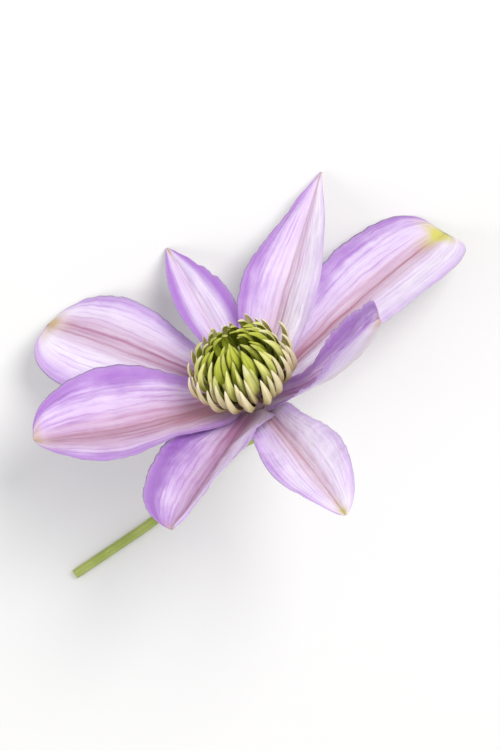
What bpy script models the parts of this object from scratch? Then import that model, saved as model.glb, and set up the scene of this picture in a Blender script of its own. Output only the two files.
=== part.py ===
"""A picked clematis flower, lying on a flat surface on two of its sepals and its own stalk.

Metres, +Z up, the surface at Z 0, the origin under the middle of the flower. The flower is laid out in its
own frame, with the way that it faces as Z and the middle of its receptacle at 0, and then leaned over.
Eight sepals, whorls of narrow staminodes and a tuft of pistils grow on a stalk whose top is the receptacle.
"""

import math

import bpy
from mathutils import Matrix, Vector

MM = 0.001

# How the flower lies: the way that it faces, and where the middle of its receptacle is.
FACE_AZIMUTH = math.radians(114.5)
FACE_ELEVATION = math.radians(42.2)
RECEPTACLE_AT = Vector((0.6, -3.4, 27.0)) * MM

# Sepals. Azimuth is round the flower's axis and rise is the tip's angle above its plane, in degrees. Foot
# is the height of the foot, and length and width are the blade's, in millimetres. Base is how late the
# blade widens from its foot, 1 for evenly, and point shapes the end, from 0.5 for blunt to 1 for tapering.
# Arch lifts the middle of the midrib, as a share of the length. Roll turns the blade about its midrib, in
# degrees. Fold lifts the two halves in straight lines from the midrib and cup curves them up, as shares of
# the half width. Ruffle is the height of the margins' wave in millimetres, and phase is where it starts.
SEPALS = {
    "sepal_1": dict(azimuth=28.4, rise=-4.2, foot=-2.0, length=53, width=24, base=1.00, point=0.35,
                    arch=0.03, roll=5, fold=0.10, cup=0.10, ruffle=0.6, phase=0.4),
    "sepal_2": dict(azimuth=53.5, rise=10.9, foot=-0.6, length=50.8, width=16, base=1.00, point=1.35,
                    arch=0.02, roll=3, fold=0.20, cup=0.10, ruffle=0.7, phase=1.7),
    "sepal_3": dict(azimuth=95.4, rise=14.5, foot=-2.5, length=40.8, width=11, base=1.10, point=1.10,
                    arch=0.02, roll=12, fold=0.25, cup=0.35, ruffle=0.5, phase=3.0),
    "sepal_4": dict(azimuth=132.0, rise=13.5, foot=-3.4, length=47.0, width=23.5, base=1.00, point=0.36,
                    arch=0.03, roll=0, fold=-0.05, cup=0.00, ruffle=0.8, phase=0.9),
    "sepal_5": dict(azimuth=174.6, rise=12.5, foot=0.2, length=41.8, width=24, base=0.80, point=0.50,
                    arch=-0.04, roll=-4, fold=0.35, cup=0.05, ruffle=0.7, phase=2.2),
    "sepal_6": dict(azimuth=233.7, rise=14, foot=-2.1, length=40.9, width=21.5, base=0.75, point=0.65,
                    arch=0.00, roll=13, fold=0.40, cup=0.05, ruffle=0.6, phase=4.1),
    "sepal_7": dict(azimuth=277.7, rise=9.5, foot=-3.5, length=44.8, width=15, base=0.95, point=0.75,
                    arch=0.04, roll=-7, fold=0.25, cup=0.10, ruffle=0.7, phase=5.0),
    "sepal_8": dict(azimuth=326.3, rise=37, foot=-1.9, length=38.1, width=16, base=0.95, point=0.45,
                    arch=-0.10, roll=-6, fold=0.45, cup=0.10, ruffle=0.6, phase=0.2),
}
SEPAL_THICKNESS = 0.5 * MM
SEPAL_FOOT_RADIUS = 3.5 * MM
SEPAL_CLAW = 0.085  # the foot's width as a share of the widest
SEPAL_TIP = 0.04  # and the very tip's
SEPAL_SETTLE = 3.0  # roll and fold start from nothing at the foot and are full at a third of the length
CHANNEL_DEPTH = 0.5 * MM
CHANNEL_WIDTH = 0.22
RUFFLE_WAVES = 1.6
SEPAL_STATIONS = 12
SEPAL_COLUMNS = 6

# Staminodes stand in whorls, one inside the next. Each whorl has its number of staminodes and, in
# millimetres, the (radius, height) points of its outline from the receptacle to the tips.
WHORLS = [
    (18, [(4.0, 1.4), (7.6, 2.7), (10.8, 5.4), (11.4, 8.9), (10.6, 11.6)]),
    (14, [(3.5, 2.9), (6.6, 4.7), (9.2, 7.9), (8.8, 11.4), (6.7, 13.6)]),
    (10, [(2.9, 4.3), (5.3, 6.7), (7.1, 10.1), (6.3, 13.1), (4.2, 14.8)]),
    (6, [(2.2, 5.9), (3.6, 8.8), (4.6, 12.0), (3.7, 14.4), (1.9, 15.5)]),
]
STAMINODE_STATIONS = 6
STAMINODE_THICKNESS = 0.45 * MM
STAMINODE_FULL = 0.86  # the widest part, as a share of the room that each has in its whorl
STAMINODE_GAP = 0.2 * MM

# The pistils' outline, as (height, radius) in millimetres.
PISTILS = 6
PISTIL_OUTLINE = [(7.6, 1.25), (8.9, 1.5), (10.2, 1.35), (11.6, 1.1), (12.9, 0.8)]
PISTIL_FLUTE = 0.05
PISTIL_SIDES = 24

# The receptacle's outline, as (height, radius) in millimetres from its inner end to where the stalk starts.
RECEPTACLE_OUTLINE = [
    (7.1, 0.55), (6.5, 1.1), (3.6, 2.0), (1.2, 2.8), (-0.4, 3.05), (-2.0, 3.05), (-3.4, 2.4), (-4.4, 1.4),
]

# The stalk, as points of its centre line from the receptacle to the cut, in millimetres from the receptacle.
STALK_RADIUS = 1.0 * MM
STALK_SIDES = 10
STALK_RUN = [
    (3.1, -7.6, -11.0), (0.2, -9.6, -16.0), (-4.8, -12.0, -21.0), (-9.4, -16.2, -24.8),
    (-14.4, -21.6, -25.9), (-20.8, -27.0, -26.0), (-28.6, -32.4, -26.0), (-37.0, -38.0, -26.0),
]
STALK_STATIONS = 30

COLOURS = {
    "sepal": ((0.78, 0.66, 0.90), 0.55),
    "outer_staminode": ((0.72, 0.66, 0.42), 0.6),
    "inner_staminode": ((0.42, 0.48, 0.13), 0.6),
    "pistils": ((0.62, 0.64, 0.25), 0.6),
    "stalk": ((0.40, 0.50, 0.16), 0.55),
}


def clear_scene():
    for old in list(bpy.data.objects):
        bpy.data.objects.remove(old)


def material(name):
    colour, roughness = COLOURS[name]
    made = bpy.data.materials.new(name)
    made.use_nodes = True
    shader = made.node_tree.nodes["Principled BSDF"]
    shader.inputs["Base Color"].default_value = (*colour, 1.0)
    shader.inputs["Roughness"].default_value = roughness
    shader.inputs["Metallic"].default_value = 0.0
    return made


def flower_matrix():
    """The flower's own frame in the world: its X level, its Z the way that it faces."""
    facing = Vector((
        math.cos(FACE_ELEVATION) * math.cos(FACE_AZIMUTH),
        math.cos(FACE_ELEVATION) * math.sin(FACE_AZIMUTH),
        math.sin(FACE_ELEVATION),
    ))
    level = Vector((math.sin(FACE_AZIMUTH), -math.cos(FACE_AZIMUTH), 0.0))
    turn = Matrix((level, facing.cross(level), facing)).transposed()
    return Matrix.Translation(RECEPTACLE_AT) @ turn.to_4x4()


def add_object(name, points, faces, look, place=Matrix()):
    mesh = bpy.data.meshes.new(name)
    mesh.from_pydata([tuple(p) for p in points], [], faces)
    mesh.transform(place)
    mesh.materials.append(look)
    mesh.shade_smooth()
    made = bpy.data.objects.new(name, mesh)
    bpy.context.scene.collection.objects.link(made)
    return made


def close_rings(rings):
    """The points and faces of a closed tube through rings of equal count, with one face at each end."""
    count = len(rings[0])
    points = [p for ring in rings for p in ring]
    faces = []
    for i in range(len(rings) - 1):
        for j in range(count):
            k = (j + 1) % count
            faces.append((i * count + j, i * count + k, (i + 1) * count + k, (i + 1) * count + j))
    faces.append(tuple(reversed(range(count))))
    last = (len(rings) - 1) * count
    faces.append(tuple(range(last, last + count)))
    return points, faces


def sepal_half_width(s, form):
    base, point = form["base"], form["point"]
    peak = base / (base + point)
    most = peak**base * (1.0 - peak) ** point
    blade = s**base * (1.0 - s) ** point / most
    return 0.5 * form["width"] * MM * (SEPAL_CLAW * (1.0 - s) ** 2 + SEPAL_TIP * s + blade)


def sepal_point(form, s, v):
    """The middle of the sepal's thickness, at s from foot to tip and v from margin to margin, -1 to 1."""
    azimuth, rise = math.radians(form["azimuth"]), math.radians(form["rise"])
    out = Vector((math.cos(azimuth), math.sin(azimuth), 0.0))
    side = Vector((-math.sin(azimuth), math.cos(azimuth), 0.0))
    up = Vector((0.0, 0.0, 1.0))
    along = out * math.cos(rise) + up * math.sin(rise)
    over = up * math.cos(rise) - out * math.sin(rise)
    foot = out * SEPAL_FOOT_RADIUS + up * (form["foot"] * MM)

    middle = foot + form["length"] * MM * (along * s + over * form["arch"] * 4.0 * s * (1.0 - s))
    slope = (along + over * form["arch"] * 4.0 * (1.0 - 2.0 * s)).normalized()
    settled = min(1.0, SEPAL_SETTLE * s)
    turn = math.radians(form["roll"]) * settled
    across = Matrix.Rotation(turn, 3, slope) @ side

    half = sepal_half_width(s, form)
    spread = min(1.0, half / (4.0 * MM))
    lift = half * settled * (form["fold"] * abs(v) + form["cup"] * v * v)
    wave = math.sin(2.0 * math.pi * RUFFLE_WAVES * s + form["phase"] + (2.4 if v > 0.0 else 0.0))
    lift += form["ruffle"] * MM * wave * abs(v) ** 3 * spread
    lift -= CHANNEL_DEPTH * math.exp(-((v / CHANNEL_WIDTH) ** 2)) * spread
    return middle + across * half * v + slope.cross(across) * lift


def build_sepal(name, form, look, place):
    """A sheet on the middle of the sepal's thickness, which a Solidify modifier thickens both ways."""
    columns = SEPAL_COLUMNS + 1
    points, faces = [], []
    for i in range(SEPAL_STATIONS + 1):
        for j in range(columns):
            points.append(sepal_point(form, i / SEPAL_STATIONS, 2.0 * j / SEPAL_COLUMNS - 1.0))
            if i and j:
                here = i * columns + j
                faces.append((here - columns - 1, here - 1, here, here - columns))
    sepal = add_object(name, points, faces, look, place)
    solidify = sepal.modifiers.new("thickness", "SOLIDIFY")
    solidify.thickness = SEPAL_THICKNESS
    solidify.offset = 0.0


def catmull(points, t):
    """A smooth curve through points, at t from 0 to 1."""
    x = t * (len(points) - 1)
    i = min(int(x), len(points) - 2)
    f = x - i
    p0, p1 = points[max(0, i - 1)], points[i]
    p2, p3 = points[i + 1], points[min(len(points) - 1, i + 2)]
    line = 2 * p1 + (p2 - p0) * f
    return 0.5 * (line + (2 * p0 - 5 * p1 + 4 * p2 - p3) * f**2 + (3 * p1 - p0 - 3 * p2 + p3) * f**3)


def build_staminode(name, whorl, place_in_whorl, look, place):
    count, outline = WHORLS[whorl]
    outline = [Vector(p) * MM for p in outline]
    azimuth = 2.0 * math.pi * (place_in_whorl + 0.5 * (whorl % 2)) / count
    rings = []
    for i in range(STAMINODE_STATIONS + 1):
        s = 0.97 * i / STAMINODE_STATIONS
        middle = catmull(outline, s)
        slope = (catmull(outline, s + 0.03) - catmull(outline, max(0.0, s - 0.03))).normalized()
        outward = Vector((slope.y, -slope.x))
        share = STAMINODE_FULL * (0.35 * (1.0 - s) + 1.55 * s**0.7 * (1.0 - s) ** 0.6)
        half_angle = share * math.pi / count - STAMINODE_GAP * s / middle.x
        thick = STAMINODE_THICKNESS * (0.55 + 0.45 * math.sin(math.pi * s))
        outer, inner = middle + outward * thick / 2, middle - outward * thick / 2
        corners = [(middle, half_angle), (inner, 0.0), (middle, -half_angle), (outer, 0.0)]
        rings.append([
            Vector((p.x * math.cos(azimuth + a), p.x * math.sin(azimuth + a), p.y)) for p, a in corners
        ])
    points, faces = close_rings(rings)
    add_object(name, points, faces, look, place)


def build_pistils(look, place):
    """The pistils in the middle, joined as one tuft that is fluted between them."""
    rings = []
    for height, radius in PISTIL_OUTLINE:
        ring = []
        for j in range(PISTIL_SIDES):
            turn = 2.0 * math.pi * j / PISTIL_SIDES
            flute = 1.0 + PISTIL_FLUTE * (height - PISTIL_OUTLINE[0][0]) * math.cos(PISTILS * turn)
            out = radius * flute
            ring.append(Vector((out * math.cos(turn), out * math.sin(turn), height)) * MM)
        rings.append(ring)
    points, faces = close_rings(rings)
    add_object("pistils", points, faces, look, place)


def build_stalk(look):
    """One swept body: the receptacle, the stalk down to the surface, and along it to the cut."""
    turn = flower_matrix().to_3x3()
    axis = turn @ Vector((0.0, 0.0, 1.0))
    spine = [(axis * height * MM, radius * MM) for height, radius in RECEPTACLE_OUTLINE]
    neck = RECEPTACLE_OUTLINE[-1][0]
    run = [axis * height * MM for height in (neck - 0.7, neck - 4.8)] + [Vector(p) * MM for p in STALK_RUN]
    for i in range(STALK_STATIONS + 1):
        spine.append((catmull(run, i / STALK_STATIONS), STALK_RADIUS))
    rings = []
    across = turn @ Vector((1.0, 0.0, 0.0))
    for i, (centre, radius) in enumerate(spine):
        ahead = (spine[min(len(spine) - 1, i + 1)][0] - spine[max(0, i - 1)][0]).normalized()
        across = (across - ahead * across.dot(ahead)).normalized()
        other = ahead.cross(across)
        ring = []
        for j in range(STALK_SIDES):
            angle = 2.0 * math.pi * j / STALK_SIDES
            spoke = across * math.cos(angle) + other * math.sin(angle)
            ring.append(RECEPTACLE_AT + centre + spoke * radius)
        rings.append(ring)
    points, faces = close_rings(rings)
    add_object("stalk", points, faces, look)


def main():
    clear_scene()
    looks = {name: material(name) for name in COLOURS}
    flower = flower_matrix()
    for name, form in SEPALS.items():
        build_sepal(name, form, looks["sepal"], flower)
    for whorl, (count, _) in enumerate(WHORLS):
        kind = f"staminode_{'abcd'[whorl]}"
        look = looks["inner_staminode" if whorl else "outer_staminode"]
        for k in range(count):
            build_staminode(f"{kind}{k + 1:02d}", whorl, k, look, flower)
    build_pistils(looks["pistils"], flower)
    build_stalk(looks["stalk"])


main()
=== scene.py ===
"""The clematis flower as it looks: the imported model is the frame, and each piece here replaces its solids.

The sepals, the staminodes, the pistils, the stalk and the down on them are Geometry Nodes trees that work
in millimetres. The flower is made in its own frame, whose Z is the way that it faces, and leaned over on to
the surface.
"""

import math

import bpy
from mathutils import Matrix, Vector


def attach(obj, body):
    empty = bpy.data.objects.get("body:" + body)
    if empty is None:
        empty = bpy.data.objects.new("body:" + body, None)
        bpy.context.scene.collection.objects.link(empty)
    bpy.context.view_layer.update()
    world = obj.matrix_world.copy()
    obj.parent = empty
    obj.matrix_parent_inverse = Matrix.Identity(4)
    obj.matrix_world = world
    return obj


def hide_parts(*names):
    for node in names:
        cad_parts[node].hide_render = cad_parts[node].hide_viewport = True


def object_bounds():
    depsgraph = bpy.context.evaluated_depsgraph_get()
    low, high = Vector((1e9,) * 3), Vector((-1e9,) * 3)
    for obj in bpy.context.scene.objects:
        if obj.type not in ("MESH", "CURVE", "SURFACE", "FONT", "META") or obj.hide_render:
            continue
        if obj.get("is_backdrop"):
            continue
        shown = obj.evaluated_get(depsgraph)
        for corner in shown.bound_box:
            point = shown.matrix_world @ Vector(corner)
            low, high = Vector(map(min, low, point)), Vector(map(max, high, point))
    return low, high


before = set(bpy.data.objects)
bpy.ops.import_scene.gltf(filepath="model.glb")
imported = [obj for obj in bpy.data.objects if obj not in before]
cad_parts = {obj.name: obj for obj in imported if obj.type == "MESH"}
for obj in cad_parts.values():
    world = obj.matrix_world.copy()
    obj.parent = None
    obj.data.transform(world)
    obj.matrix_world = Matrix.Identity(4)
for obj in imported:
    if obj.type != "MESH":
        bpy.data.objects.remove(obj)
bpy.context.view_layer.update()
MM = 0.001
SOFT_LANDING = 0.4 * MM  # what would dip into the surface is eased up to lie on it, over about this height

FACE_AZIMUTH = math.radians(114.5)
FACE_ELEVATION = math.radians(42.2)
RECEPTACLE_AT = Vector((0.6, -3.4, 27.0)) * MM

# Each sepal's form, in degrees, millimetres and shares, as on the solids. Then its colouring: depth is how
# strong its lilac is, side moves that towards one margin, and edge is how dark its margins are. Bar is how
# strong the bar on its midrib is, spread how wide and lean how far off the midrib, and warm turns it from
# purple to tan. Green is how green its tip is.
SEPALS = {
    "sepal_1": dict(azimuth=28.4, rise=-4.2, foot=-2.0, length=53, width=24, base=1.00, point=0.35,
                    arch=0.03, roll=5, fold=0.10, cup=0.10, ruffle=0.6, phase=0.4,
                    depth=0.46, side=0.5, edge=0.35, bar=1.3, spread=1.0, lean=0.0, warm=0.6, green=1.0),
    "sepal_2": dict(azimuth=53.5, rise=10.9, foot=-0.6, length=50.8, width=16, base=1.00, point=1.35,
                    arch=0.02, roll=3, fold=0.20, cup=0.10, ruffle=0.7, phase=1.7,
                    depth=0.48, side=0.7, edge=0.35, bar=0.75, spread=1.1, lean=-0.12, warm=0.6, green=0.1),
    "sepal_3": dict(azimuth=95.4, rise=14.5, foot=-2.5, length=40.8, width=11, base=1.10, point=1.10,
                    arch=0.02, roll=12, fold=0.25, cup=0.35, ruffle=0.5, phase=3.0,
                    depth=0.55, side=0.2, edge=1.3, bar=0.25, spread=0.9, lean=0.0, warm=0.6, green=0.3),
    "sepal_4": dict(azimuth=132.0, rise=13.5, foot=-3.4, length=47, width=23.5, base=1.00, point=0.36,
                    arch=0.03, roll=0, fold=-0.05, cup=0.00, ruffle=0.8, phase=0.9,
                    depth=0.34, side=0.0, edge=0.6, bar=1.35, spread=1.3, lean=-0.12, warm=0.35, green=0.2),
    "sepal_5": dict(azimuth=174.6, rise=12.5, foot=0.2, length=41.8, width=24, base=0.80, point=0.50,
                    arch=-0.04, roll=-4, fold=0.35, cup=0.05, ruffle=0.7, phase=2.2,
                    depth=0.78, side=-0.1, edge=0.5, bar=1.6, spread=1.7, lean=0.2, warm=0.55, green=0.2),
    "sepal_6": dict(azimuth=233.7, rise=14, foot=-2.1, length=40.9, width=21.5, base=0.75, point=0.65,
                    arch=0.00, roll=13, fold=0.40, cup=0.05, ruffle=0.6, phase=4.1,
                    depth=0.75, side=-0.45, edge=0.4, bar=1.5, spread=1.3, lean=0.1, warm=0.25, green=0.0),
    "sepal_7": dict(azimuth=277.7, rise=9.5, foot=-3.5, length=44.8, width=15, base=0.95, point=0.75,
                    arch=0.04, roll=-7, fold=0.25, cup=0.10, ruffle=0.7, phase=5.0,
                    depth=0.36, side=-0.4, edge=0.35, bar=0.85, spread=1.0, lean=0.0, warm=0.9, green=0.6),
    "sepal_8": dict(azimuth=326.3, rise=37, foot=-1.9, length=38.1, width=16, base=0.95, point=0.45,
                    arch=-0.10, roll=-6, fold=0.45, cup=0.10, ruffle=0.6, phase=0.2,
                    depth=1.10, side=0.2, edge=0.5, bar=0.9, spread=1.2, lean=0.0, warm=0.1, green=0.0),
}
COLOURING = ("depth", "side", "edge", "bar", "spread", "lean", "warm", "green")

# What all the sepals share, in millimetres where it isn't a share.
SEPAL_GRID = (57, 141)
SEPAL_FOOT_RADIUS = 3.5
SEPAL_CLAW = 0.085  # what the foot keeps of the sepal's width
SEPAL_TIP = 0.04  # and what the tip keeps
SEPAL_SETTLE = 3.0  # roll and fold start from nothing at the foot and are full at a third of the length
MIDRIB_THICKNESS = 0.46
MARGIN_THICKNESS = 0.30
FOOT_THICKENING = 0.2
HEEL_WIDTH = 3.0  # the foot spreads over the receptacle by this, which the solids' feet don't
HEEL_LENGTH = 0.16  # as a share of the sepal's length
HEEL_REACH = 0.03  # and how far it runs in past the solids' feet
FULL_BODY = 4.0  # where half the sepal is narrower than this, its unevenness shrinks with it
MARGIN_WAVES = 1.6  # along each margin
MARGINS_APART = 2.4  # how far the two margins' waves are out of step, in radians
FRILL = 1.1  # how far the margins frill, in and out of the blade's face
WANDER = 1.2  # how far the whole blade sways out of its form
CRUMPLE = 0.7  # and how far its small dents do
CHANNEL_WIDTH = 0.22  # of half the sepal's width
CHANNEL_DEPTH = 0.5
BAR_RIBS = 7.5 * math.pi  # the ribs' angle from the midrib to the margin, for the ones along the bar
BAR_RIB_HEIGHT = 0.07
FINE_RIBS = 3.6  # and for each millimetre, for the fine ones beyond it
FINE_RIB_HEIGHT = 0.035

# The whorls of staminodes, as on the solids. Each point of an outline is a distance from the flower's axis
# and a height along it. The looser staminodes between those of a whorl follow its outline, slightly inside.
WHORLS = {
    "a": dict(count=18, half_width=1.5, colours="rim",
              outline=[(4.0, 1.4), (7.6, 2.7), (10.8, 5.4), (11.4, 8.9), (10.6, 11.6)]),
    "b": dict(count=14, half_width=1.6, colours="crown",
              outline=[(3.5, 2.9), (6.6, 4.7), (9.2, 7.9), (8.8, 11.4), (6.7, 13.6)]),
    "c": dict(count=10, half_width=1.6, colours="heart",
              outline=[(2.9, 4.3), (5.3, 6.7), (7.1, 10.1), (6.3, 13.1), (4.2, 14.8)]),
    "d": dict(count=6, half_width=1.5, colours="heart",
              outline=[(2.2, 5.9), (3.6, 8.8), (4.6, 12.0), (3.7, 14.4), (1.9, 15.5)]),
}
BETWEEN_INSET = (0.93, 0.1)  # the distances from the axis are this share of the whorl's, less this
BETWEEN_LIFT = 1.02
BETWEEN_HALF_WIDTH = 1.25
BETWEEN_SIZE = 0.97
BETWEEN_JOSTLE = 1.6
STAMINODE_GRID = (9, 25)
STAMINODE_HALF_THICKNESS = 0.15

# The receptacle's outline is heights along the flower's axis, with radii. The stalk's run goes on from it to
# the cut, in distances from the receptacle's place, with Z straight up from the surface.
RECEPTACLE_OUTLINE = [
    (7.1, 0.55), (6.5, 1.1), (3.6, 2.0), (1.2, 2.8), (-0.4, 3.05), (-2.0, 3.05), (-3.4, 2.4), (-4.4, 1.4),
]
STALK_RADIUS = 1.0
STALK_COLLAR = 0.25  # how much thicker the stalk is where it leaves the receptacle
STALK_COLLAR_RINGS = 8.0  # and over how many of its rings that fades
STALK_STARTS = (0.7, 4.8)  # its first two points are straight below the receptacle by these
STALK_RUN = [
    (3.1, -7.6, -11.0), (0.2, -9.6, -16.0), (-4.8, -12.0, -21.0), (-9.4, -16.2, -24.8),
    (-14.4, -21.6, -25.9), (-20.8, -27.0, -26.0), (-28.6, -32.4, -26.0), (-37.0, -38.0, -26.0),
]
STALK_GROOVES = 6.0


# ---------------------------------------------------------------- nodes


class Socket:
    """A node's output, which Python's operators add Math nodes to."""

    def __init__(self, tree, output):
        self.tree = tree
        self.output = output

    def math(self, operation, *others, **settings):
        return self.tree.node("ShaderNodeMath", {"operation": operation, **settings}, [self, *others]).out()

    def __add__(self, other):
        return self.math("ADD", other)

    def __sub__(self, other):
        return self.math("SUBTRACT", other)

    def __mul__(self, other):
        return self.math("MULTIPLY", other)

    def __truediv__(self, other):
        return self.math("DIVIDE", other)

    def __pow__(self, other):
        return self.math("POWER", other)

    def __rsub__(self, other):
        return self.tree.value(other).math("SUBTRACT", self)

    def __rtruediv__(self, other):
        return self.tree.value(other).math("DIVIDE", self)

    def __neg__(self):
        return self * -1.0

    __radd__ = __add__
    __rmul__ = __mul__

    def clamp(self):
        return self.math("ADD", 0.0, use_clamp=True)

    def bell(self):
        """1 at nought, and falling away smoothly on both sides of it."""
        return (self * self * -1.0).math("EXPONENT")

    def step(self, low, high):
        """0 at low and before it, 1 at high and beyond, and smooth between; high may be the lower one."""
        ends = {0: self, 1: low, 2: high, 3: 0.0, 4: 1.0}
        return self.tree.node("ShaderNodeMapRange", {"interpolation_type": "SMOOTHSTEP"}, ends).out()


class Node:
    """A node that has been made, with its outputs by number or name."""

    def __init__(self, tree, made):
        self.tree = tree
        self.made = made

    def out(self, which=0):
        return Socket(self.tree, self.made.outputs[which])


class Tree:
    """A node tree being written."""

    def __init__(self, group):
        self.group = group

    def node(self, kind, settings=None, values=()):
        made = self.group.nodes.new(kind)
        for name, setting in (settings or {}).items():
            setattr(made, name, setting)
        items = values.items() if isinstance(values, dict) else enumerate(values)
        for name, value in items:
            self.put(made.inputs[name], value)
        return Node(self, made)

    def put(self, socket, value):
        if isinstance(value, Socket):
            self.group.links.new(value.output, socket)
        else:
            socket.default_value = value

    def value(self, number):
        return self.node("ShaderNodeMath", {"operation": "ADD"}, [float(number), 0.0]).out()

    def vector(self, x, y, z):
        return self.node("ShaderNodeCombineXYZ", {}, [x, y, z]).out()

    def parts(self, vector):
        split = self.node("ShaderNodeSeparateXYZ", {}, [vector])
        return split.out(0), split.out(1), split.out(2)

    def vectors(self, operation, *values, result="Vector"):
        return self.node("ShaderNodeVectorMath", {"operation": operation}, values).out(result)

    def scaled(self, vector, scale):
        return self.node("ShaderNodeVectorMath", {"operation": "SCALE"},
                         {"Vector": vector, "Scale": scale}).out()

    def total(self, *vectors):
        so_far = vectors[0]
        for more in vectors[1:]:
            so_far = self.vectors("ADD", so_far, more)
        return so_far

    def noise(self, vector, scale, detail=2.0, rough=0.5):
        return self.node("ShaderNodeTexNoise", {"noise_dimensions": "3D"},
                         {"Vector": vector, "Scale": scale, "Detail": detail, "Roughness": rough}).out()

    def unevenness(self, x, y, z, detail):
        """Smooth noise on both sides of nought, at a place given by three numbers."""
        return self.noise(self.vector(x, y, z), 2.0, detail) - 0.5


class GeometryTree(Tree):
    """A Geometry Nodes tree with named number inputs."""

    def __init__(self, name, inputs):
        super().__init__(bpy.data.node_groups.new(name, "GeometryNodeTree"))
        sides = self.group.interface
        sides.new_socket("Geometry", in_out="OUTPUT", socket_type="NodeSocketGeometry")
        sides.new_socket("Geometry", in_out="INPUT", socket_type="NodeSocketGeometry")
        for label, default in inputs.items():
            kind = "NodeSocketInt" if isinstance(default, int) else "NodeSocketFloat"
            sides.new_socket(label, in_out="INPUT", socket_type=kind).default_value = default
        self.start = self.group.nodes.new("NodeGroupInput")
        self.end = self.group.nodes.new("NodeGroupOutput")

    def given(self, label):
        return Socket(self, self.start.outputs[label])

    def position(self):
        return self.node("GeometryNodeInputPosition").out()

    def kept(self, name):
        return self.node("GeometryNodeInputNamedAttribute", {"data_type": "FLOAT"}, {"Name": name}).out()

    def keep(self, geometry, name, value, domain="POINT", data_type="FLOAT"):
        return self.node("GeometryNodeStoreNamedAttribute", {"domain": domain, "data_type": data_type},
                         {"Geometry": geometry, "Name": name, "Value": value}).out()

    def line(self):
        """The base mesh's line of points, as a curve."""
        return self.node("GeometryNodeMeshToCurve", {}, {"Mesh": self.given("Geometry")}).out()

    def grid(self, columns, rows):
        """A grid, with how far its points are across it, from -1 to 1, and along it, from 0 to 1."""
        sheet = self.node("GeometryNodeMeshGrid", {}, {
            "Size X": 2.0, "Size Y": 1.0, "Vertices X": columns, "Vertices Y": rows})
        across, along, _ = self.parts(self.position())
        return sheet, across, along + 0.5

    def moved(self, geometry, position):
        return self.node("GeometryNodeSetPosition", {}, {"Geometry": geometry, "Position": position}).out()

    def two_sides(self, sheet, middle, face, half_thickness, turned):
        """The sheet moved out on each side of its middle, with the faces of one side turned over."""
        sides = []
        for way in (1.0, -1.0):
            side = self.moved(sheet, self.total(middle, self.scaled(face, half_thickness * way)))
            if way == turned:
                side = self.node("GeometryNodeFlipFaces", {}, {"Mesh": side}).out()
            sides.append(side)
        return sides

    def welded(self, geometry):
        return self.node("GeometryNodeMergeByDistance", {}, {"Geometry": geometry, "Distance": 0.002}).out()

    def random(self, low, high, seed):
        """A number for each point; output 1 is the node's plain number."""
        return self.node("FunctionNodeRandomValue", {"data_type": "FLOAT"},
                         {2: low, 3: high, "Seed": seed}).out(1)

    def copies(self, points, piece, rotation, scale):
        return self.node("GeometryNodeInstanceOnPoints", {}, {
            "Points": points, "Instance": piece, "Rotation": rotation, "Scale": scale}).out()

    def real(self, geometry):
        return self.node("GeometryNodeRealizeInstances", {}, {"Geometry": geometry}).out()

    def down(self, geometry, per_mm2, length, seed, lean=0.7, thick=0.010):
        """Fine hairs standing on a surface."""
        points = self.node("GeometryNodeDistributePointsOnFaces", {"distribute_method": "RANDOM"},
                           {"Mesh": geometry, "Density": per_mm2, "Seed": seed})
        hair = self.node("GeometryNodeMeshCone", {"fill_type": "TRIANGLE_FAN"},
                         {"Vertices": 3, "Radius Top": 0.0, "Radius Bottom": thick, "Depth": 1.0}).out()
        away = self.node("FunctionNodeRandomValue", {"data_type": "FLOAT_VECTOR"},
                         {0: (-lean, -lean, -lean), 1: (lean, lean, lean), "Seed": seed + 1}).out()
        turned = self.node("FunctionNodeAlignRotationToVector", {"axis": "Z"},
                           {"Vector": self.total(points.out("Normal"), away)}).out()
        sized = self.vector(1.0, 1.0, self.random(0.4 * length, length, seed + 2))
        return self.copies(points.out("Points"), hair, turned, sized)

    def joined(self, *geometries):
        join = self.node("GeometryNodeJoinGeometry")
        for geometry in reversed(geometries):
            self.group.links.new(geometry.output, join.made.inputs[0])
        return join.out()

    def finish(self, geometry, look):
        painted = self.node("GeometryNodeSetMaterial", {},
                            {"Geometry": self.real(geometry), "Material": look}).out()
        self.group.links.new(painted.output, self.end.inputs[0])


def run_tree(name, tree, values, base, place):
    """The tree's result, worked out in millimetres on a base mesh, as a plain object placed in the mesh."""
    holder = bpy.data.objects.new(name, base or bpy.data.meshes.new(name))
    bpy.context.scene.collection.objects.link(holder)
    modifier = holder.modifiers.new(name, "NODES")
    modifier.node_group = tree.group
    for item in tree.group.interface.items_tree:
        if item.in_out == "INPUT" and item.name in values:
            modifier[item.identifier] = values[item.name]
    depsgraph = bpy.context.evaluated_depsgraph_get()
    mesh = bpy.data.meshes.new_from_object(
        holder.evaluated_get(depsgraph), preserve_all_data_layers=True, depsgraph=depsgraph
    )
    bpy.data.objects.remove(holder)
    mesh.name = name
    mesh.transform(place @ Matrix.Scale(MM, 4))
    for vertex in mesh.vertices:
        height = vertex.co.z
        vertex.co.z = (height + math.hypot(height, SOFT_LANDING)) / 2.0
    mesh.shade_smooth()
    made = bpy.data.objects.new(name, mesh)
    bpy.context.scene.collection.objects.link(made)
    return made


def flower_matrix():
    """The flower's own frame, at its receptacle, turned to the way that the flower faces."""
    facing = Vector((
        math.cos(FACE_ELEVATION) * math.cos(FACE_AZIMUTH),
        math.cos(FACE_ELEVATION) * math.sin(FACE_AZIMUTH),
        math.sin(FACE_ELEVATION),
    ))
    level = Vector((math.sin(FACE_AZIMUTH), -math.cos(FACE_AZIMUTH), 0.0))
    turn = Matrix((level, facing.cross(level), facing)).transposed()
    return Matrix.Translation(RECEPTACLE_AT) @ turn.to_4x4()


# ---------------------------------------------------------------- sepals


def settled(along):
    """0 at the foot, rising to 1, for what starts from nothing there."""
    return (along * SEPAL_SETTLE).clamp()


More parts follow.
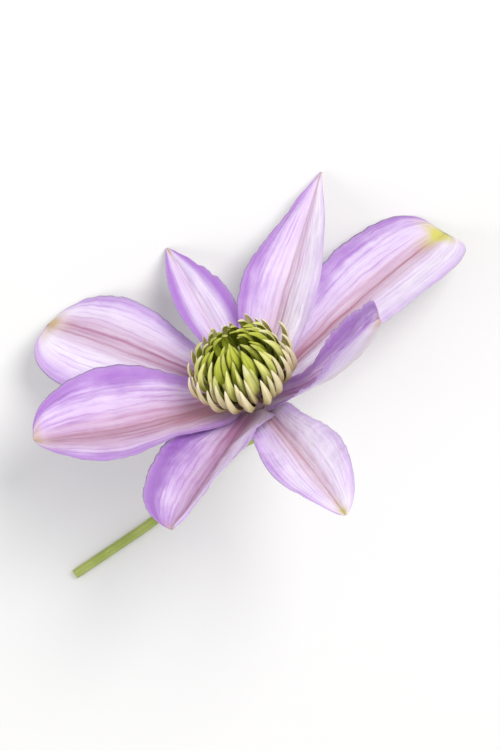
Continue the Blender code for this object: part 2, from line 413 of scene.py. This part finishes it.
def midrib(tree, form, along):
    """The midrib's points, with the ways across the blade and out of its face there."""
    azimuth, rise = form["azimuth"].math("RADIANS"), form["rise"].math("RADIANS")
    outward = tree.vector(azimuth.math("COSINE"), azimuth.math("SINE"), 0.0)
    sideways = tree.vector(-azimuth.math("SINE"), azimuth.math("COSINE"), 0.0)
    up = tree.vector(0.0, 0.0, 1.0)
    ahead = tree.total(tree.scaled(outward, rise.math("COSINE")), tree.scaled(up, rise.math("SINE")))
    above = tree.total(tree.scaled(up, rise.math("COSINE")), tree.scaled(outward, -rise.math("SINE")))

    foot = tree.total(tree.scaled(outward, SEPAL_FOOT_RADIUS), tree.scaled(up, form["foot"]))
    bow = along * (1.0 - along) * 4.0 * form["arch"] * form["length"]
    middle = tree.total(foot, tree.scaled(ahead, along * form["length"]), tree.scaled(above, bow))
    steepness = (1.0 - along * 2.0) * 4.0 * form["arch"]
    slope = tree.vectors("NORMALIZE", tree.total(ahead, tree.scaled(above, steepness)))
    roll = form["roll"].math("RADIANS") * settled(along)
    breadth = tree.node("ShaderNodeVectorRotate", {"rotation_type": "AXIS_ANGLE"},
                        {"Vector": sideways, "Axis": slope, "Angle": roll}).out()
    return middle, breadth, tree.vectors("CROSS_PRODUCT", slope, breadth)


def half_width(form, along):
    """Half the sepal's width: its outline, what its foot and tip keep, and its heel on the receptacle."""
    base, point = form["base"], form["point"]
    widest = base / (base + point)
    most = widest**base * (1.0 - widest) ** point
    outline = along.math("MAXIMUM", 0.0) ** base * (1.0 - along).math("MAXIMUM", 0.0) ** point / most
    claw = (1.0 - along) * (1.0 - along) * SEPAL_CLAW
    heel = (along / HEEL_LENGTH).bell() * HEEL_WIDTH
    return (claw + along * SEPAL_TIP + outline) * form["width"] * 0.5 + heel


def sepal_tree(look):
    """A thin closed blade: a grid is bent to the sepal's form for each side, and they meet at its edge."""
    names = [*SEPALS["sepal_1"], "seed"]
    tree = GeometryTree("sepal", dict.fromkeys(names, 0.0))
    form = {name: tree.given(name) for name in names}
    grid, across, share = tree.grid(*SEPAL_GRID)
    sheet = tree.keep(grid.out("Mesh"), "UVMap", grid.out("UV Map"), "CORNER", "FLOAT2")
    for name in COLOURING:
        sheet = tree.keep(sheet, name, form[name])
    along = share * (1.0 + HEEL_REACH) - HEEL_REACH
    off = across.math("ABSOLUTE")
    middle, breadth, face = midrib(tree, form, along)
    half = half_width(form, along)
    body = (half / FULL_BODY).math("MINIMUM", 1.0)

    seed = form["seed"]
    wander = tree.unevenness(along * 2.2, across * 0.9, seed, 1.0)
    crumple = tree.unevenness(along * 5.0, across * 2.0, seed + 7.0, 2.0)
    frill = tree.unevenness(along * 9.0, across.math("SIGN"), seed + 3.0, 1.0)
    wave = (along * (2.0 * math.pi * MARGIN_WAVES) + form["phase"]
            + across.math("GREATER_THAN", 0.0) * MARGINS_APART).math("SINE")
    lift = half * settled(along) * (form["fold"] * off + form["cup"] * off * off)
    lift = lift + (form["ruffle"] * wave + frill * FRILL) * off * off * off * body
    lift = lift - (across / CHANNEL_WIDTH).bell() * CHANNEL_DEPTH * body
    lift = lift + (wander * WANDER + crumple * CRUMPLE) * body * (along * 4.0).math("MINIMUM", 1.0)
    notch = (frill * 0.35 + crumple * 0.25) * body
    surface = tree.total(middle, tree.scaled(breadth, across * (half + notch)), tree.scaled(face, lift))

    # ribs along the bar and fine ones beyond it, which close towards the tip
    ribs = (across * BAR_RIBS).math("COSINE") * BAR_RIB_HEIGHT * off.step(0.42, 0.2)
    fine = (across * half * FINE_RIBS).math("COSINE") * FINE_RIB_HEIGHT
    fine = fine * off.step(0.2, 0.4) * off.step(1.0, 0.85)
    relief = (ribs + fine) * along.step(0.02, 0.15) * along.step(1.0, 0.8) * body
    margin = off.step(1.0, 0.8) * along.step(-HEEL_REACH, 0.0) * along.step(1.0, 0.985)
    thick = (MARGIN_THICKNESS + (1.0 - off) * (MIDRIB_THICKNESS - MARGIN_THICKNESS)
             + along.step(0.25, 0.0) * FOOT_THICKENING) * 0.5 * margin
    inside, outside = tree.two_sides(sheet, surface, face, thick + relief * 0.6 * margin, turned=-1.0)
    inside = tree.keep(inside, "inner", 1.0, "FACE")
    outside = tree.keep(outside, "inner", 0.0, "FACE")
    tree.finish(tree.welded(tree.joined(inside, outside)), look)
    return tree


# ---------------------------------------------------------------- centre


def polyline(name, points, **numbers):
    """A bare line of points for a tree to follow, with a number at each point."""
    mesh = bpy.data.meshes.new(name)
    mesh.from_pydata([tuple(p) for p in points], [(i, i + 1) for i in range(len(points) - 1)], [])
    for label, values in numbers.items():
        mesh.attributes.new(label, "FLOAT", "POINT").data.foreach_set("value", values)
    return mesh


def staminode_blade(tree):
    """One pointed, keeled staminode that follows the whorl's outline."""
    curve = tree.node("GeometryNodeCurveSplineType", {"spline_type": "CATMULL_ROM"},
                      {"Curve": tree.line()}).out()
    grid, across, along = tree.grid(*STAMINODE_GRID)
    sheet = tree.keep(grid.out("Mesh"), "along", along)
    sheet = tree.keep(sheet, "across", across)
    spot = tree.node("GeometryNodeSampleCurve", {"mode": "FACTOR", "use_all_curves": True},
                     {"Curves": curve, "Factor": along})
    ahead, _, above = tree.parts(spot.out("Tangent"))
    back = tree.vector(above, 0.0, -ahead)
    outline = along.math("MAXIMUM", 0.0) ** 0.7 * (1.0 - along).math("MAXIMUM", 0.0) ** 0.75 * 1.75
    half = (outline + (1.0 - along) * 0.28) * tree.given("half_width")
    keel = (across * 3.4).bell() * 0.16
    lift = (keel - across * across * tree.given("curl")) * half
    margin = across.math("ABSOLUTE").step(1.0, 0.5) * along.step(0.0, 0.06) * along.step(1.0, 0.95)
    middle = tree.total(spot.out("Position"), tree.vector(0.0, across * half, 0.0), tree.scaled(back, lift))
    sides = tree.two_sides(sheet, middle, back, margin * STAMINODE_HALF_THICKNESS, turned=1.0)
    return tree.welded(tree.joined(*sides))


def staminode_tree(look):
    """A whorl of staminodes set round the axis, each one jostled a little, with their down."""
    tree = GeometryTree("staminodes", {
        "count": 18, "spin": 0.0, "half_width": 1.0, "curl": 0.5, "size": 1.0, "jostle": 1.0, "seed": 1,
    })
    blade = staminode_blade(tree)
    count, seed = tree.given("count"), tree.given("seed")

    def jostled(low, high, nth):
        return tree.random(low, high, seed + nth) * tree.given("jostle")

    points = tree.node("GeometryNodePoints", {}, {"Count": count}).out()
    index = tree.node("GeometryNodeInputIndex").out()
    step = 2.0 * math.pi / count
    turn = (index + tree.given("spin")) * step + jostled(-0.16, 0.16, 0) * step
    tilt = tree.vector(jostled(-0.04, 0.04, 1), jostled(-0.05, 0.03, 2), turn)
    size = tree.given("size") * (1.0 + jostled(-0.07, 0.03, 3))
    scale = tree.vector(size, size * tree.random(0.85, 1.1, seed + 4), size)
    ring = tree.copies(points, blade, tilt, scale)
    ring = tree.real(tree.keep(ring, "shade", tree.random(0.0, 1.0, seed + 5), "INSTANCE"))
    tree.finish(tree.joined(ring, tree.down(ring, 1.6, 0.30, seed + 6)), look)
    return tree


def pistil_tree(look):
    """A tuft of slender styles on a golden-angle spiral, bent a little apart and silky with hairs."""
    tree = GeometryTree("pistils", {
        "count": 19, "foot": 7.5, "length": 5.2, "spread": 1.15, "seed": 5, "down_seed": 31,
    })
    count, foot, length = tree.given("count"), tree.given("foot"), tree.given("length")
    index = tree.node("GeometryNodeInputIndex").out()
    angle = index * (math.pi * (3.0 - math.sqrt(5.0)))
    radius = ((index + 0.5) / count) ** 0.5 * tree.given("spread")
    spot = tree.vector(angle.math("COSINE") * radius, angle.math("SINE") * radius, foot)
    points = tree.moved(tree.node("GeometryNodePoints", {}, {"Count": count}).out(), spot)
    style = tree.node("GeometryNodeMeshCone", {"fill_type": "TRIANGLE_FAN"}, {
        "Vertices": 9, "Side Segments": 10, "Radius Top": 0.07, "Radius Bottom": 0.24, "Depth": 1.0}).out()
    lean = radius * 0.10
    tilt = tree.vector(-angle.math("SINE") * lean, angle.math("COSINE") * lean, angle)
    height = length * tree.random(0.85, 1.05, tree.given("seed")) * (1.0 - radius * 0.08)
    tuft = tree.real(tree.copies(points, style, tilt, tree.vector(1.0, 1.0, height)))
    place = tree.position()
    high = (tree.parts(place)[2] - foot) / length
    sway_x = tree.noise(place, 0.9, 1.0) - 0.5
    sway_y = tree.noise(tree.scaled(place, -1.0), 0.9, 1.0) - 0.5
    sway = tree.scaled(tree.vector(sway_x, sway_y, 0.0), high * 0.9)
    tuft = tree.moved(tuft, tree.total(place, sway))
    tuft = tree.keep(tuft, "along", high)
    tree.finish(tree.joined(tuft, tree.down(tuft, 9.0, 0.55, tree.given("down_seed"), lean=0.5)), look)
    return tree


# ---------------------------------------------------------------- stalk


def smooth_line(points, share):
    """A point on the smooth curve through the points, at a share of the way along them."""
    place = share * (len(points) - 1)
    i = min(int(place), len(points) - 2)
    t = place - i
    before, start = points[max(0, i - 1)], points[i]
    end, after = points[i + 1], points[min(len(points) - 1, i + 2)]
    line = 2 * start + (end - before) * t
    bend = (2 * before - 5 * start + 4 * end - after) * t**2 + (3 * start - before - 3 * end + after) * t**3
    return 0.5 * (line + bend)


def stalk_line():
    """The stalk's centre line and girth in millimetres: the receptacle, then the stalk down to the cut."""
    axis = flower_matrix().to_3x3() @ Vector((0.0, 0.0, 1.0))
    outline = [Vector((height, radius, 0.0)) for height, radius in RECEPTACLE_OUTLINE]
    points, girths = [], []
    receptacle_rings, stalk_rings = 40, 151
    for i in range(receptacle_rings):
        height, radius, _ = smooth_line(outline, i / (receptacle_rings - 1))
        points.append(axis * height)
        girths.append(radius)
    neck = RECEPTACLE_OUTLINE[-1][0]
    run = [axis * (neck - below) for below in STALK_STARTS] + [Vector(p) for p in STALK_RUN]
    for i in range(stalk_rings):
        points.append(smooth_line(run, i / (stalk_rings - 1)))
        girths.append(STALK_RADIUS + STALK_COLLAR * math.exp(-i / STALK_COLLAR_RINGS))
    return points, girths


def stalk_tree(look):
    """The stalk swept along its line, grooved along its length, with its down."""
    tree = GeometryTree("stalk", {"grooves": STALK_GROOVES, "groove_depth": 0.09, "seed": 11})
    rim = tree.node("GeometryNodeCurvePrimitiveCircle", {}, {"Resolution": 48, "Radius": 1.0}).out()
    rim = tree.keep(rim, "around", tree.node("GeometryNodeSplineParameter").out())
    tube = tree.node("GeometryNodeCurveToMesh", {}, {
        "Curve": tree.line(), "Profile Curve": rim, "Scale": tree.kept("girth"), "Fill Caps": True}).out()
    place = tree.position()
    normal = tree.node("GeometryNodeInputNormal").out()
    groove = (tree.kept("around") * 2.0 * math.pi * tree.given("grooves")).math("COSINE") - 1.0
    bumps = tree.noise(place, 0.8, 2.0) - 0.5
    sink = groove * 0.5 * tree.given("groove_depth") + bumps * 0.10
    tube = tree.moved(tube, tree.total(place, tree.scaled(normal, sink)))
    tree.finish(tree.joined(tube, tree.down(tube, 2.4, 0.34, tree.given("seed"), thick=0.012)), look)
    return tree


# ---------------------------------------------------------------- finishes


BAR_STRIPES = 3.0 * math.pi / 0.26  # the painted stripes' angle from the midrib to the margin
LILAC_PALE, LILAC, LILAC_DEEP = (0.87, 0.81, 0.93), (0.56, 0.33, 0.76), (0.33, 0.15, 0.50)
LILAC_VEIN, LILAC_MARGIN = (0.42, 0.20, 0.56), (0.40, 0.19, 0.60)
BAR_PURPLE, BAR_TAN = (0.36, 0.13, 0.35), (0.47, 0.23, 0.19)
OUTSIDE_GREY, OUTSIDE_BAND = (0.80, 0.75, 0.86), (0.68, 0.65, 0.52)
# The first of these, for the sepals' feet, is painted shade: a brown darkening next to the centre.
FOOT_SHADE_BROWN, TIP_BROWN, TIP_GREEN = (0.46, 0.36, 0.30), (0.50, 0.34, 0.27), (0.62, 0.58, 0.14)

# Each whorl's from its foot to its point.
STAMINODE_COLOURS = {
    # The rim's purple-brown foot colour is painted shade at the staminodes' bases.
    "rim": [(0.30, 0.18, 0.17), (0.54, 0.47, 0.18), (0.80, 0.72, 0.42), (0.90, 0.83, 0.60)],
    "crown": [(0.20, 0.21, 0.03), (0.39, 0.42, 0.07), (0.66, 0.66, 0.21), (0.90, 0.86, 0.52)],
    "heart": [(0.15, 0.17, 0.02), (0.27, 0.32, 0.02), (0.44, 0.48, 0.05), (0.64, 0.62, 0.18)],
}
PISTIL_FOOT, PISTIL_SILK, PISTIL_FLECK = (0.36, 0.42, 0.12), (0.74, 0.70, 0.36), (0.50, 0.52, 0.22)

STALK_DARK, STALK_GREEN, STALK_FLECK = (0.30, 0.40, 0.07), (0.46, 0.56, 0.14), (0.50, 0.56, 0.24)
# The receptacle's purple-brown is painted shade, darkening it under the staminodes.
STALK_FLUSH, RECEPTACLE_SHADE_PURPLE = (0.27, 0.19, 0.10), (0.36, 0.22, 0.30)
PITH, PITH_STRANDS, CUT_SKIN = (0.62, 0.64, 0.36), (0.30, 0.34, 0.12), (0.24, 0.28, 0.09)


class Finish(Tree):
    """A Principled finish being written."""

    def __init__(self, name, **constants):
        self.look = bpy.data.materials.new(name)
        self.look.use_nodes = True
        super().__init__(self.look.node_tree)
        self.shader = self.group.nodes["Principled BSDF"]
        for label, value in constants.items():
            self.shader.inputs[label.replace("_", " ")].default_value = value

    def number(self, name):
        return self.node("ShaderNodeAttribute", {"attribute_name": name}).out("Fac")

    def place(self):
        return self.node("ShaderNodeTexCoord").out("Object")

    def mix(self, share, first, second):
        """Two colours mixed, each three numbers or a socket; 6, 7 and 2 are the node's colour sockets."""
        first, second = ((*c, 1.0) if isinstance(c, tuple) else c for c in (first, second))
        return self.node("ShaderNodeMix", {"data_type": "RGBA"}, {0: share, 6: first, 7: second}).out(2)

    def paint(self, colour, rough, bump=None, depth=0.0001, strength=0.5):
        self.put(self.shader.inputs["Base Color"], colour)
        self.put(self.shader.inputs["Roughness"], rough)
        if bump is not None:
            raised = self.node("ShaderNodeBump", {},
                               {"Strength": strength, "Distance": depth, "Height": bump}).out()
            self.put(self.shader.inputs["Normal"], raised)
        return self.look


def sepal_finish():
    """Pale lilac with a bar on the midrib, veins, purple margins and a tinted tip; greyer outside."""
    finish = Finish("sepal lilac", Specular_IOR_Level=0.35, Subsurface_Weight=0.2,
                    Subsurface_Radius=(0.9, 0.6, 0.9), Subsurface_Scale=0.0012, Sheen_Weight=0.12)
    from_side, along, _ = finish.parts(finish.node("ShaderNodeUVMap", {"uv_map": "UVMap"}).out())
    across = from_side * 2.0 - 1.0
    off = across.math("ABSOLUTE")
    depth, side, edge, bar, spread, lean, warm, green = (finish.number(name) for name in COLOURING)
    inner = finish.number("inner")
    place = finish.place()
    cloud = finish.noise(place, 130.0, 3.0) - 0.5
    streak = finish.noise(finish.vector(across * 9.0, along * 2.2, depth * 7.0), 1.6, 3.0, 0.6) - 0.5
    grain = finish.noise(place, 2600.0, 2.0)

    local = (depth * (1.0 + side * (across.step(-0.5, 0.5) * 2.0 - 1.0))).math("MINIMUM", 1.2)
    wash = local * 0.62 + off.step(0.45, 1.0) * (0.16 + local * 0.3) + cloud * 0.55 + streak * 0.75
    colour = finish.mix(wash.clamp(), LILAC_PALE, LILAC)
    deep = (local * (0.55 + off.step(0.35, 0.9) * 0.6) + cloud * 0.8 + streak * 1.1 - 0.50) * 1.4
    colour = finish.mix(deep.clamp(), colour, LILAC_DEEP)

    branch = finish.unevenness(across * 5.0, along * 7.0, depth, 2.0)
    lines = ((off ** 0.85 + along * 0.16 * off + branch * 0.10) * 52.0).math("SINE")
    veins = lines.step(0.5, 1.0) * off.step(0.12, 0.3) * along.step(1.0, 0.85) * along.step(0.03, 0.2)
    colour = finish.mix(veins * (0.26 + local * 0.1) * streak.step(-0.15, 0.1), colour, LILAC_VEIN)

    beam = ((across - lean) / ((0.34 - along * 0.15) * spread)).bell()
    stripes = (across * BAR_STRIPES).math("COSINE").step(0.2, 1.0) * off.step(0.34, 0.2)
    # the bar is stronger towards the foot: partly its own colour, partly painted shade next to the centre
    heel = along.step(0.5, 0.05) * 0.3
    shade = beam * (bar * (0.50 + heel) + streak * 0.8 + stripes * 0.3 - 0.05) * (0.7 + inner * 0.3)
    colour = finish.mix(shade.clamp() * along.step(1.0, 0.9), colour, finish.mix(warm, BAR_PURPLE, BAR_TAN))

    outside = finish.mix((beam * 0.7 + cloud * 0.5).clamp(), colour, OUTSIDE_BAND)
    outside = finish.mix(0.35, outside, OUTSIDE_GREY)
    colour = finish.mix(inner, outside, colour)
    rim = off.step(0.85 - edge * 0.35, 1.0) * (edge + local * 0.4 + streak * 0.6)
    colour = finish.mix(rim.clamp(), colour, LILAC_MARGIN)
    # painted shade: the sepal's foot is darkened brown where it meets the centre
    colour = finish.mix(along.step(0.13, 0.0) * 0.6, colour, FOOT_SHADE_BROWN)
    end = along.step(0.93, 0.99) * off.step(1.0, 0.2) * (0.55 + green * 0.35)
    tip = end + along.step(0.84, 0.98) * beam * (0.35 + green * 0.5)
    colour = finish.mix(tip.clamp(), colour, finish.mix(green, TIP_BROWN, TIP_GREEN))
    rough = 0.42 + grain * 0.12 + cloud * 0.12 + beam * 0.05
    bump = grain * 0.5 + cloud * 0.6 - veins * 0.35 + stripes * beam * 0.5
    return finish.paint(colour, rough, bump, 0.00012, 0.55)


def staminode_finish(name, foot, middle, upper, point):
    """Four colours from foot to point, with a paler keel and each staminode a little different."""
    finish = Finish(name, Specular_IOR_Level=0.3, Subsurface_Weight=0.1, Subsurface_Radius=(0.8, 0.8, 0.4),
                    Subsurface_Scale=0.0006)
    along, across, shade = finish.number("along"), finish.number("across"), finish.number("shade")
    place = finish.place()
    cloud = finish.noise(place, 420.0, 3.0)
    grain = finish.noise(place, 3200.0, 2.0)
    level = (along + (shade - 0.5) * 0.22 + (cloud - 0.5) * 0.25).clamp()
    colour = finish.mix(level.step(0.15, 0.5), foot, middle)
    colour = finish.mix(level.step(0.5, 0.8), colour, upper)
    colour = finish.mix(level.step(0.86, 1.0), colour, point)
    colour = finish.mix((across * 3.2).bell() * 0.35, colour, tuple(min(1.0, c * 1.35) for c in upper))
    colour = finish.mix((shade - 0.4).clamp() * 0.5, colour, tuple(c * 0.55 for c in middle))
    lines = (across * 17.0).math("COSINE") * 0.5 + 0.5
    return finish.paint(colour, 0.42 + cloud * 0.15 + grain * 0.12, grain + lines * 0.5, 0.00006)


def pistil_finish():
    finish = Finish("pistil silk", Specular_IOR_Level=0.4, Sheen_Weight=0.3)
    place = finish.place()
    fleck = finish.noise(place, 900.0, 2.0)
    colour = finish.mix(finish.number("along").step(0.1, 0.9), PISTIL_FOOT, PISTIL_SILK)
    colour = finish.mix(fleck.step(0.45, 0.7) * 0.4, colour, PISTIL_FLECK)
    return finish.paint(colour, 0.40 + fleck * 0.2, finish.noise(place, 3000.0, 2.0), 0.00005, 0.4)


def stalk_finish(cut_at, cut_axis):
    """Green with brown flush in grooves, purple-brown painted shade at the receptacle, pith with strands at
    the cut.
    """
    finish = Finish("stalk green", Specular_IOR_Level=0.4, Subsurface_Weight=0.08, Subsurface_Scale=0.0008)
    place = finish.place()
    cloud = finish.noise(place, 160.0, 3.0)
    fleck = finish.noise(place, 1500.0, 2.0)
    groove = (finish.number("around") * 2.0 * math.pi * STALK_GROOVES).math("COSINE") * 0.5 + 0.5
    flush = ((1.0 - groove) * 0.45 + cloud.step(0.45, 0.75) * 0.55).clamp()
    colour = finish.mix(cloud.step(0.3, 0.7), STALK_DARK, STALK_GREEN)
    colour = finish.mix(flush * 0.45, colour, STALK_FLUSH)
    colour = finish.mix(fleck.step(0.55, 0.75) * 0.35, colour, STALK_FLECK)
    from_head = finish.vectors("DISTANCE", place, tuple(RECEPTACLE_AT), result="Value")
    # painted shade: the receptacle and the stalk just below it turn dark purple-brown, under the staminodes
    colour = finish.mix(from_head.step(0.0065, 0.0035) * 0.85, colour, RECEPTACLE_SHADE_PURPLE)

    away = finish.vectors("SUBTRACT", place, tuple(cut_at))
    past_cut = finish.vectors("DOT_PRODUCT", away, tuple(cut_axis), result="Value")
    radius = finish.vectors("LENGTH", away, result="Value")
    end = past_cut.step(-0.00008, -0.00003)
    strands = radius.step(0.00045, 0.00056) * radius.step(0.00078, 0.00066)
    pith = finish.mix(strands * finish.noise(place, 2400.0, 1.0).step(0.4, 0.55), PITH, PITH_STRANDS)
    pith = finish.mix(radius.step(0.00074, 0.0009), pith, CUT_SKIN)
    colour = finish.mix(end, colour, pith)
    return finish.paint(colour, 0.38 + fleck * 0.16 + end * 0.2, fleck * 0.6 + cloud * 0.6)


def floor_finish():
    finish = Finish("floor", Specular_IOR_Level=0.2)
    mottle = finish.noise(finish.place(), 6.0, 2.0)
    return finish.paint(finish.mix(mottle, (0.79, 0.79, 0.79), (0.81, 0.81, 0.805)), 0.82 + mottle * 0.06)


# ---------------------------------------------------------------- the flower


def built(piece, slot, *nodes):
    """Hides the solids a finished piece replaces, if any, and hangs it on the root; slot is not used."""
    if nodes:
        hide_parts(*nodes)
    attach(piece, "root")


flower = flower_matrix()

sepals = sepal_tree(sepal_finish())
for i, (name, form) in enumerate(SEPALS.items()):
    values = {label: float(value) for label, value in form.items()} | {"seed": 4.0 + 11.0 * i}
    built(run_tree(f"{name}_blade", sepals, values, None, flower), "sepal", name)

trees = {
    name: staminode_tree(staminode_finish(f"{name} staminode", *colours))
    for name, colours in STAMINODE_COLOURS.items()
}
for i, (letter, whorl) in enumerate(WHORLS.items()):
    count, outline, tree = whorl["count"], whorl["outline"], trees[whorl["colours"]]
    slot = "outer_staminode" if letter == "a" else "inner_staminode"
    spin = 0.5 * (i % 2)

    line = polyline("outline", [(r, 0.0, h) for r, h in outline])
    values = {"count": count, "spin": spin, "half_width": whorl["half_width"], "seed": 20 + i}
    nodes = [f"staminode_{letter}{n + 1:02d}" for n in range(count)]
    built(run_tree(f"whorl_{letter}", tree, values, line, flower), slot, *nodes)

    share, less = BETWEEN_INSET
    line = polyline("between", [(r * share - less, 0.0, h * BETWEEN_LIFT) for r, h in outline])
    values = {"count": count, "spin": spin + 0.5, "half_width": BETWEEN_HALF_WIDTH, "size": BETWEEN_SIZE,
              "jostle": BETWEEN_JOSTLE, "seed": 40 + i}
    built(run_tree(f"whorl_{letter}_between", tree, values, line, flower), slot)

built(run_tree("pistil_tuft", pistil_tree(pistil_finish()), {}, None, flower), "pistils", "pistils")

points, girths = stalk_line()
cut_at = RECEPTACLE_AT + points[-1] * MM
cut_axis = (points[-1] - points[-2]).normalized()
stem = stalk_tree(stalk_finish(cut_at, cut_axis))
line = polyline("line", points, girth=girths)
built(run_tree("stalk_downy", stem, {}, line, Matrix.Translation(RECEPTACLE_AT)), "stalk", "stalk")


# ---------------------------------------------------------------- studio


FRAME_WIDTH = 0.100  # what the camera sees across, in metres
FLOOR_REACH = 3.0  # how far the floor goes each way, in metres


def softbox(name, at, towards, size, watts, colour):
    lamp = bpy.data.lights.new(name, "AREA")
    lamp.shape = "DISK"
    lamp.size = size
    lamp.energy = watts
    lamp.color = colour
    holder = bpy.data.objects.new(name, lamp)
    holder.location = at
    holder.rotation_euler = (towards - holder.location).to_track_quat("-Z", "Y").to_euler()
    bpy.context.scene.collection.objects.link(holder)


low, high = (Vector(corner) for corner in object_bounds())
middle = (low + high) / 2.0

sheet = bpy.data.meshes.new("floor")
corners = [(x * FLOOR_REACH, y * FLOOR_REACH, 0.0) for x, y in ((-1, -1), (1, -1), (1, 1), (-1, 1))]
sheet.from_pydata(corners, [], [(0, 1, 2, 3)])
sheet.transform(Matrix.Translation((middle.x, middle.y, low.z)))
sheet.materials.append(floor_finish())
floor = bpy.data.objects.new("floor", sheet)
bpy.context.scene.collection.objects.link(floor)
floor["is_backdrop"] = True

world = bpy.data.worlds.new("studio")
world.use_nodes = True
world.node_tree.nodes["Background"].inputs["Color"].default_value = (1.0, 1.0, 1.0, 1.0)
world.node_tree.nodes["Background"].inputs["Strength"].default_value = 0.65
bpy.context.scene.world = world
softbox("key", (0.35, 0.30, 0.75), middle, 0.5, 4.75, (1.0, 0.985, 0.96))
softbox("fill", (-0.6, -0.35, 0.6), middle, 0.6, 2.1, (0.97, 0.98, 1.0))

lens = bpy.data.cameras.new("camera")
lens.lens = 300.0
lens.sensor_fit = "HORIZONTAL"
camera = bpy.data.objects.new("camera", lens)
distance = FRAME_WIDTH / lens.sensor_width * lens.lens
camera.location = (middle.x, middle.y, middle.z + distance)
camera.rotation_euler = (0.0, 0.0, 0.0)
bpy.context.scene.collection.objects.link(camera)
bpy.context.scene.camera = camera
bpy.context.scene.view_settings.view_transform = "Standard"
